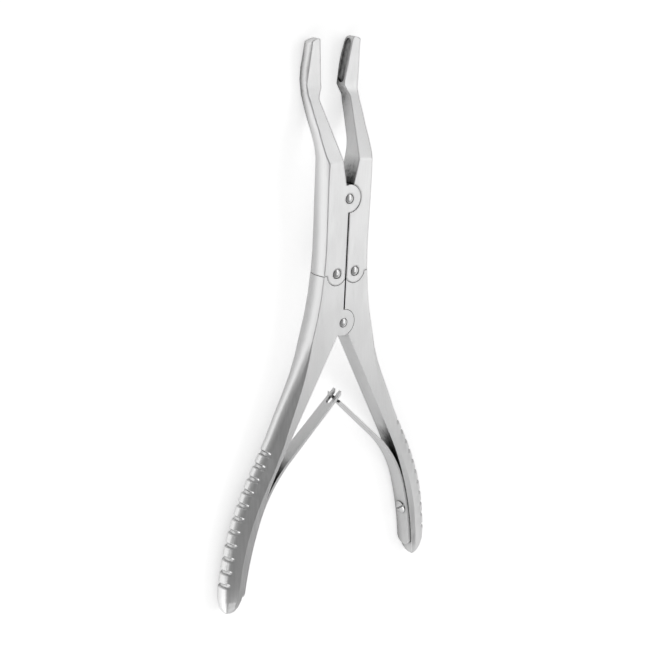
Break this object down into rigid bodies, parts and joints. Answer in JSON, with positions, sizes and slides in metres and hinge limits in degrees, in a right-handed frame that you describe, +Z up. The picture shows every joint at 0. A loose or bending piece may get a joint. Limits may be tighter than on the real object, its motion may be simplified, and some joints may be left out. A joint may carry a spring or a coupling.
{
  "type": "bone rongeur",
  "caption": "Double action bone rongeur with flat box joint, back-leaning cup jaws, splayed ribbed handles and crossing leaf springs.",
  "frame": {"origin": "centre of the bounding box in plan, on the surface the open instrument lies on", "axes": "+X across the instrument, +Y along it from the handles to the jaws, +Z up out of the front face"},
  "size_m": [0.0834, 0.1756, 0.0132],
  "materials": {
    "satin_steel": "satin brushed stainless steel",
    "pin_steel": "polished stainless steel pin ends",
    "spring_steel": "satin spring steel"
  },
  "bodies": {
    "left_handle": {"left_handle": "satin_steel", "handle_pivot_pin": "pin_steel", "left_link_pin": "pin_steel", "left_spring_screw": "pin_steel"},
    "right_handle": {"right_handle": "satin_steel", "right_link_pin": "pin_steel", "right_spring_screw": "pin_steel"},
    "left_jaw": {"left_jaw": "satin_steel", "jaw_pivot_pin": "pin_steel"},
    "right_jaw": {"right_jaw": "satin_steel"},
    "left_leaf": {"left_leaf_spring": "spring_steel"},
    "right_leaf": {"right_leaf_spring": "spring_steel"}
  },
  "joints": [
    {"name": "handle_pivot", "type": "hinge", "parent": "left_handle", "child": "right_handle", "pos_m": [0, 0.00193, 0.00741], "axis": [0, 0.0467, -0.9989], "range_deg": [0, 21.64], "stiffness_Nm_per_rad": 2.5},
    {"name": "left_jaw_link", "type": "hinge", "parent": "left_handle", "child": "left_jaw", "pos_m": [-0.00345, 0.01801, 0.00816], "axis": [0, 0.0467, -0.9989], "range_deg": [0, 18.42]},
    {"name": "right_jaw_link", "type": "hinge", "parent": "right_handle", "child": "right_jaw", "pos_m": [0.00345, 0.01801, 0.00816], "axis": [0, -0.0467, 0.9989], "range_deg": [0, 18.42]},
    {"name": "left_leaf_flex", "type": "hinge", "parent": "left_handle", "child": "left_leaf", "pos_m": [-0.02555, -0.05049, 0.00496], "axis": [0, -0.0467, 0.9989], "range_deg": [0, 8.45], "deforming": ["left_leaf_spring"]},
    {"name": "right_leaf_flex", "type": "hinge", "parent": "right_handle", "child": "right_leaf", "pos_m": [0.02555, -0.05049, 0.00496], "axis": [0, 0.0467, -0.9989], "range_deg": [0, 8.45], "deforming": ["right_leaf_spring"]}
  ],
  "couplings": [
    {"joint": "left_jaw_link", "follows": "handle_pivot", "ratio": 0.8466},
    {"joint": "right_jaw_link", "follows": "handle_pivot", "ratio": 0.8466},
    {"joint": "left_leaf_flex", "follows": "handle_pivot", "ratio": 0.3858},
    {"joint": "right_leaf_flex", "follows": "handle_pivot", "ratio": 0.3858}
  ]
}
